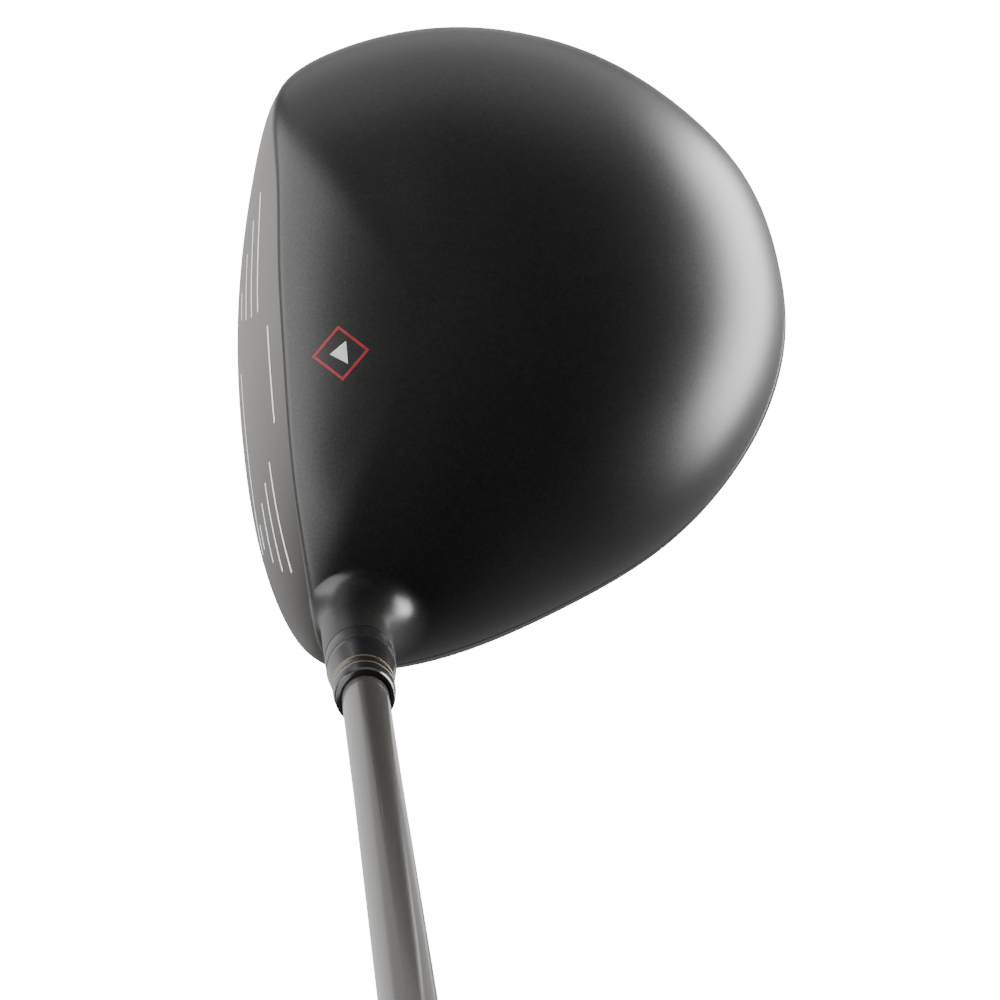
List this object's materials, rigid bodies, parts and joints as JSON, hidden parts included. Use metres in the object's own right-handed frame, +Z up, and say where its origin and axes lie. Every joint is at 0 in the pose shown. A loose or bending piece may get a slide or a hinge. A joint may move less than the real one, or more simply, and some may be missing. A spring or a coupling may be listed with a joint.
{
  "type": "golf driver",
  "caption": "Right-handed golf driver with a hollow metal head, an adjustable hosel sleeve, a graphite shaft, a rubber grip and a screw-in rear weight.",
  "frame": {"origin": "middle of the flat on the sole that rests on the ground in the address position", "axes": "-X towards the target, +X to the back of the head, +Y to the toe, -Y to the player, +Z up; the shaft leans towards -Y at its lie angle"},
  "size_m": [0.1066, 0.717, 0.9875],
  "materials": {
    "body_metal": "satin black paint over cast titanium",
    "crown_paint": "satin black with a fine metallic grain over carbon composite",
    "face_metal": "blasted and finely brushed, warm grey",
    "sleeve_alloy": "satin black anodised",
    "ferrule_plastic": "gloss black",
    "trim_brass": "satin",
    "shaft_graphite": "clear-coated grey graphite",
    "tape": "paper tape",
    "grip_rubber": "matt, moulded",
    "screw_steel": "bare",
    "seal_rubber": "matt",
    "weight_steel": "turned"
  },
  "bodies": {
    "shaft_assembly": {"adapter_sleeve": "sleeve_alloy", "ferrule": "ferrule_plastic", "trim_ring_low": "trim_brass", "trim_ring_high": "trim_brass", "shaft": "shaft_graphite", "tip_plug": "trim_brass", "grip_tape": "tape", "grip": "grip_rubber", "grip_cap": "grip_rubber"},
    "head": {"sole_body": "body_metal", "crown": "crown_paint", "face_plate": "face_metal", "hosel": "body_metal", "weight_port": "body_metal"},
    "hosel_screw": {"hosel_screw": "screw_steel", "screw_washer": "screw_steel", "screw_clip": "screw_steel"},
    "weight_seal": {"weight_seal": "seal_rubber"},
    "rear_weight": {"rear_weight": "weight_steel"}
  },
  "joints": [
    {"name": "head_slide", "type": "slide", "parent": "shaft_assembly", "child": "head", "axis": [0, 0.5299, -0.848], "range_m": [0, 0.008]},
    {"name": "hosel_screw_turn", "type": "hinge", "parent": "head", "child": "hosel_screw", "pos_m": [-0.014, -0.0353, 0.02544], "axis": [0, 0.5299, -0.848], "range_deg": [0, 3600]},
    {"name": "weight_slide", "type": "slide", "parent": "head", "child": "weight_seal", "axis": [0.2924, 0, -0.9563], "range_m": [0, 0.008]},
    {"name": "weight_turn", "type": "hinge", "parent": "weight_seal", "child": "rear_weight", "pos_m": [0.052, 0.009, 0.007], "axis": [0.2924, 0, -0.9563], "range_deg": [0, 2880]}
  ],
  "couplings": [
    {"joint": "hosel_screw_turn", "follows": "head_slide", "rad_per_m": 7854},
    {"joint": "weight_turn", "follows": "weight_slide", "rad_per_m": 6283.2}
  ]
}
